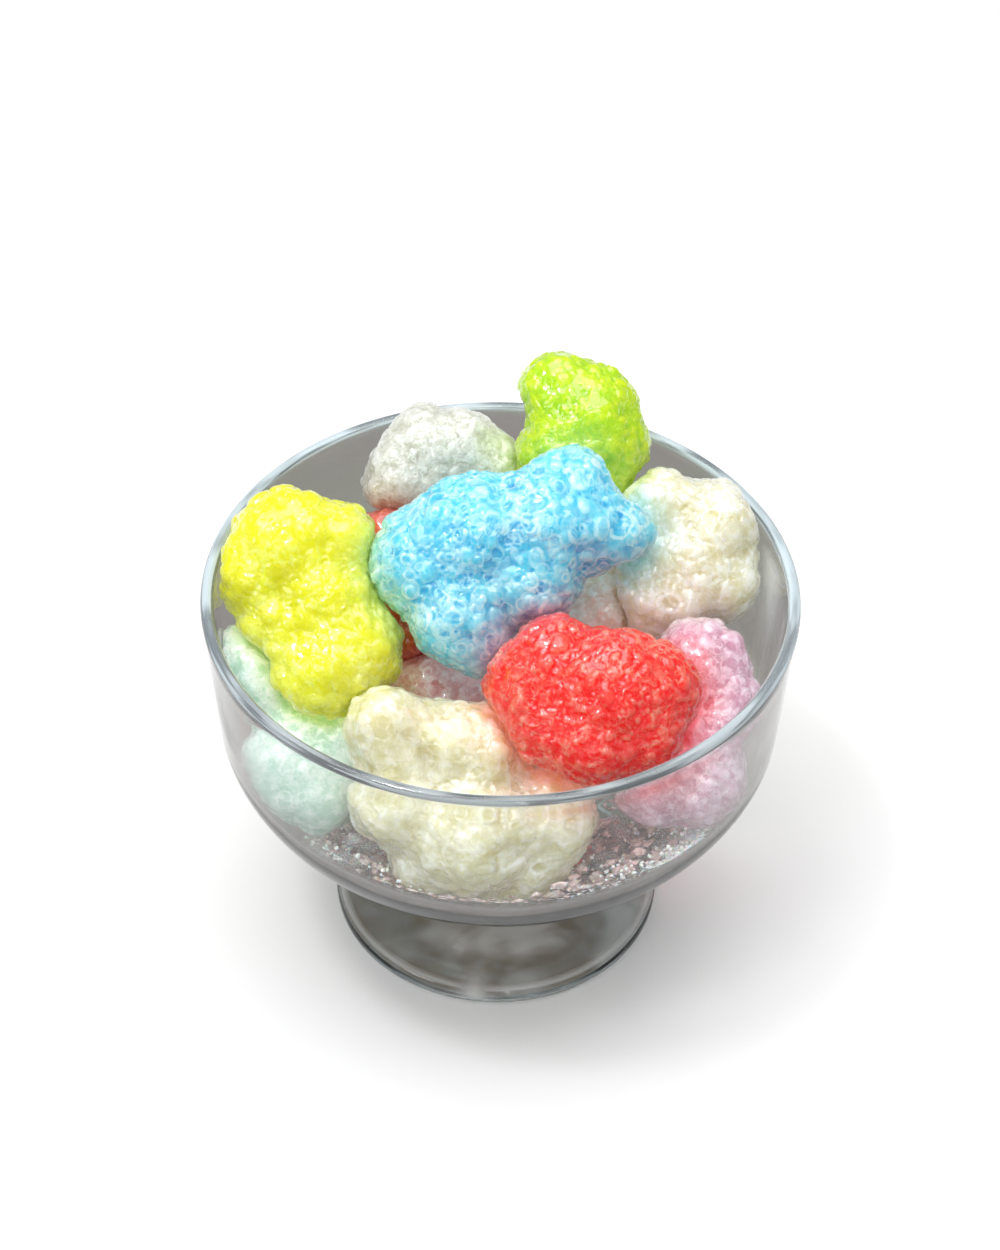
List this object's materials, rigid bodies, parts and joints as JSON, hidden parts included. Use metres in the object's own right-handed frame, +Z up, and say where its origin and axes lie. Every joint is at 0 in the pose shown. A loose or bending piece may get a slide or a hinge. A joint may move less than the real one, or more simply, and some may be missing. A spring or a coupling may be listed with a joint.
{
  "type": "glass dessert bowl of freeze-dried gummy bears",
  "caption": "Clear footed glass dessert bowl heaped with puffed, bubbly freeze-dried gummy bears in bright and pale colours.",
  "frame": {"origin": "middle of the ring under the foot, on the surface the bowl stands on", "axes": "+Z up through the bowl, +X to the right and +Y to the back as the heap is seen from its front"},
  "size_m": [0.1, 0.1, 0.0936],
  "materials": {
    "glass": "clear, polished",
    "candy_blue": "sky blue freeze-dried candy, bubbly and slightly glossy",
    "candy_yellow": "lemon yellow freeze-dried candy, bubbly and slightly glossy",
    "candy_red": "bright red freeze-dried candy, bubbly and slightly glossy",
    "candy_lime": "lime green freeze-dried candy, bubbly and slightly glossy",
    "candy_white": "white freeze-dried candy, bubbly and slightly glossy",
    "candy_cream_back": "cream freeze-dried candy, bubbly and slightly glossy",
    "candy_cream_front": "cream freeze-dried candy, bubbly and slightly glossy",
    "candy_mint": "mint freeze-dried candy, bubbly and slightly glossy",
    "candy_pink": "lilac pink freeze-dried candy, bubbly and slightly glossy",
    "candy_peach": "peach freeze-dried candy, bubbly and slightly glossy",
    "candy_orange": "orange red freeze-dried candy, bubbly and slightly glossy",
    "candy_mauve": "mauve freeze-dried candy, bubbly and slightly glossy",
    "candy_green_under": "leaf green freeze-dried candy, bubbly and slightly glossy",
    "candy_cream_under": "cream freeze-dried candy, bubbly and slightly glossy",
    "candy_orange_under": "orange freeze-dried candy, bubbly and slightly glossy",
    "candy_pink_under": "lilac pink freeze-dried candy, bubbly and slightly glossy",
    "crumbs": "loose candy crumbs and sugar dust"
  },
  "bodies": {
    "root": {"bowl": "glass", "bear_blue": "candy_blue", "bear_yellow": "candy_yellow", "bear_red": "candy_red", "bear_lime": "candy_lime", "bear_white": "candy_white", "bear_cream_back": "candy_cream_back", "bear_cream_front": "candy_cream_front", "bear_mint": "candy_mint", "bear_pink": "candy_pink", "bear_peach": "candy_peach", "bear_orange": "candy_orange", "bear_mauve": "candy_mauve", "bear_green_under": "candy_green_under", "bear_cream_under": "candy_cream_under", "bear_orange_under": "candy_orange_under", "bear_pink_under": "candy_pink_under"}
  },
  "joints": []
}
